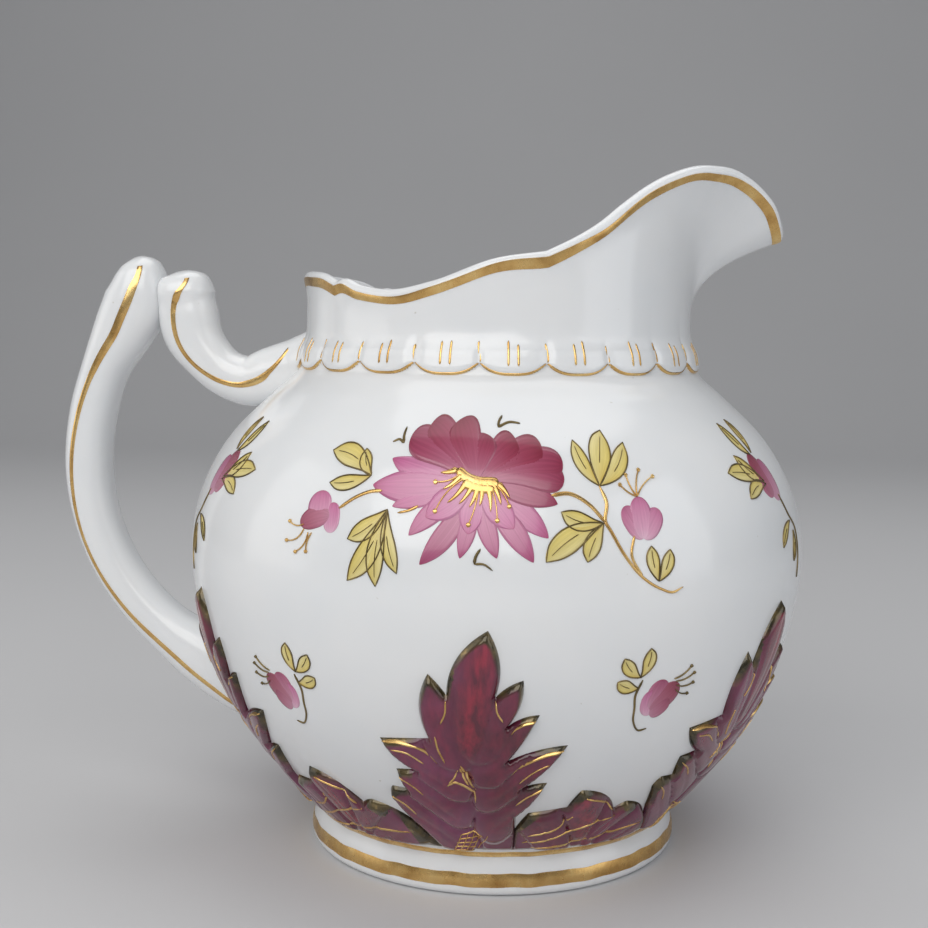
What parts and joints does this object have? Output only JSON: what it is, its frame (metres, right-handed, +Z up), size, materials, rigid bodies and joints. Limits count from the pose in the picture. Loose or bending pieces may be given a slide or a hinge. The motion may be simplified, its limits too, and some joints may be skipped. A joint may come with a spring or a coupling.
{
  "type": "porcelain cream jug",
  "caption": "Round-bellied porcelain cream jug with a flared pouring lip, a scrolled loop handle, a scalloped shoulder, relief leaves round the base and gold lines.",
  "frame": {"origin": "centre of the bounding box in plan, on the surface the foot stands on", "axes": "+Z up, +X from the handle towards the pouring lip, -Y the side shown in the picture"},
  "size_m": [0.123, 0.1008, 0.1093],
  "materials": {
    "porcelain": "high gloss white glaze",
    "leaf_enamel": "glossy maroon enamel over the glaze",
    "gold": "burnished gold lustre, thin"
  },
  "bodies": {
    "root": {"foot_ring": "porcelain", "body": "porcelain", "shoulder_band": "porcelain", "neck_spout": "porcelain", "handle": "porcelain", "handle_scroll": "porcelain", "lute_lower": "porcelain", "lute_upper": "porcelain", "leaf_front": "leaf_enamel", "leaf_back": "leaf_enamel", "leaf_spout_front": "leaf_enamel", "leaf_spout_back": "leaf_enamel", "leaf_handle_front": "leaf_enamel", "leaf_handle_back": "leaf_enamel", "low_leaf_spout": "leaf_enamel", "low_leaf_handle": "leaf_enamel", "low_leaf_right_front": "leaf_enamel", "low_leaf_right_back": "leaf_enamel", "low_leaf_left_front": "leaf_enamel", "low_leaf_left_back": "leaf_enamel", "foot_gold_band": "gold", "foot_gold_line": "gold", "scallop_gold": "gold", "rim_gold": "gold", "handle_gold_front": "gold", "handle_gold_back": "gold", "scroll_gold_front": "gold", "scroll_gold_back": "gold"}
  },
  "joints": []
}
